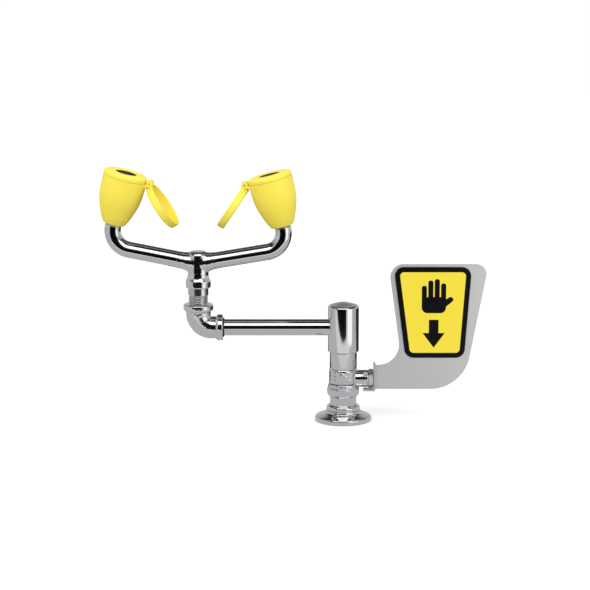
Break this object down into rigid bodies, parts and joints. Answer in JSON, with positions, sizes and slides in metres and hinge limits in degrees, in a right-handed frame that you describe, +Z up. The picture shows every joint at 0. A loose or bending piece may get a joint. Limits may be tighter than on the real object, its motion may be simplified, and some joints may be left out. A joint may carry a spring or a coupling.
{
  "type": "deck-mounted swing-away eyewash",
  "caption": "Deck-mounted swing-away eyewash: capped spray heads on a chromed twin-arm yoke and pipe arm that swivels above a ball valve opened by a push flag.",
  "frame": {"origin": "centre of the deck flange's underside, on the valve and swivel axis, which is also the mouth of the female inlet thread", "axes": "+Z up along the valve and swivel axis, -X along the arm pipe to the spray heads, +X along the valve stem to the push flag, -Y towards the person using it"},
  "size_m": [0.4009, 0.0594, 0.2664],
  "materials": {
    "chrome": "polished chrome plate",
    "dark_plastic": "black moulding",
    "rubber": "black rubber",
    "sign_face": "printed laminate, yellow with a black border",
    "stainless": "satin stainless sheet",
    "steel": "plain stainless hardware",
    "white_plastic": "natural PTFE",
    "yellow_plastic": "satin yellow moulding"
  },
  "bodies": {
    "base": {"deck_flange": "chrome", "deck_gasket": "rubber", "inlet_nipple": "chrome", "valve_end_cap": "chrome", "valve_body": "chrome", "ball_seat_lower": "white_plastic", "ball_seat_upper": "white_plastic", "stem_packing": "white_plastic", "gland_nut": "chrome", "swivel_post": "chrome", "thrust_washer": "white_plastic", "swivel_ring_lower": "rubber", "swivel_ring_upper": "rubber", "swivel_retainer": "steel"},
    "arm": {"arm_pipe": "chrome", "elbow": "chrome", "left_arm_tube": "chrome", "left_filter_screen": "steel", "left_flow_regulator": "dark_plastic", "left_head_adapter": "chrome", "left_head_ring": "yellow_plastic", "left_head_shell": "yellow_plastic", "left_hinge_pin": "steel", "left_spray_disc": "dark_plastic", "pipe_seal_ring": "rubber", "right_arm_tube": "chrome", "right_filter_screen": "steel", "right_flow_regulator": "dark_plastic", "right_head_adapter": "chrome", "right_head_ring": "yellow_plastic", "right_head_shell": "yellow_plastic", "right_hinge_pin": "steel", "right_spray_disc": "dark_plastic", "swivel_body": "chrome", "swivel_cap": "chrome", "swivel_plug": "chrome", "yoke_hub": "chrome", "yoke_nipple": "chrome"},
    "push_handle": {"valve_ball": "chrome", "valve_stem": "steel", "push_flag": "stainless", "sign_plate": "sign_face", "lock_washer": "steel", "handle_nut": "steel"},
    "left_cap": {"left_dust_cap": "yellow_plastic"},
    "right_cap": {"right_dust_cap": "yellow_plastic"}
  },
  "joints": [
    {"name": "arm_swivel", "type": "hinge", "parent": "base", "child": "arm", "pos_m": [0, 0, 0.0994], "axis": [0, 0, 1], "range_deg": [-90, 90]},
    {"name": "flag_push", "type": "hinge", "parent": "base", "child": "push_handle", "pos_m": [0, 0, 0.0448], "axis": [-1, 0, 0], "range_deg": [0, 90]},
    {"name": "left_cap_hinge", "type": "hinge", "parent": "arm", "child": "left_cap", "pos_m": [-0.20018, 0.0043, 0.25021], "axis": [-0.0872, -0.9962, 0], "range_deg": [0, 222]},
    {"name": "right_cap_hinge", "type": "hinge", "parent": "arm", "child": "right_cap", "pos_m": [-0.10182, -0.0043, 0.25021], "axis": [0.0872, 0.9962, 0], "range_deg": [0, 222]}
  ]
}
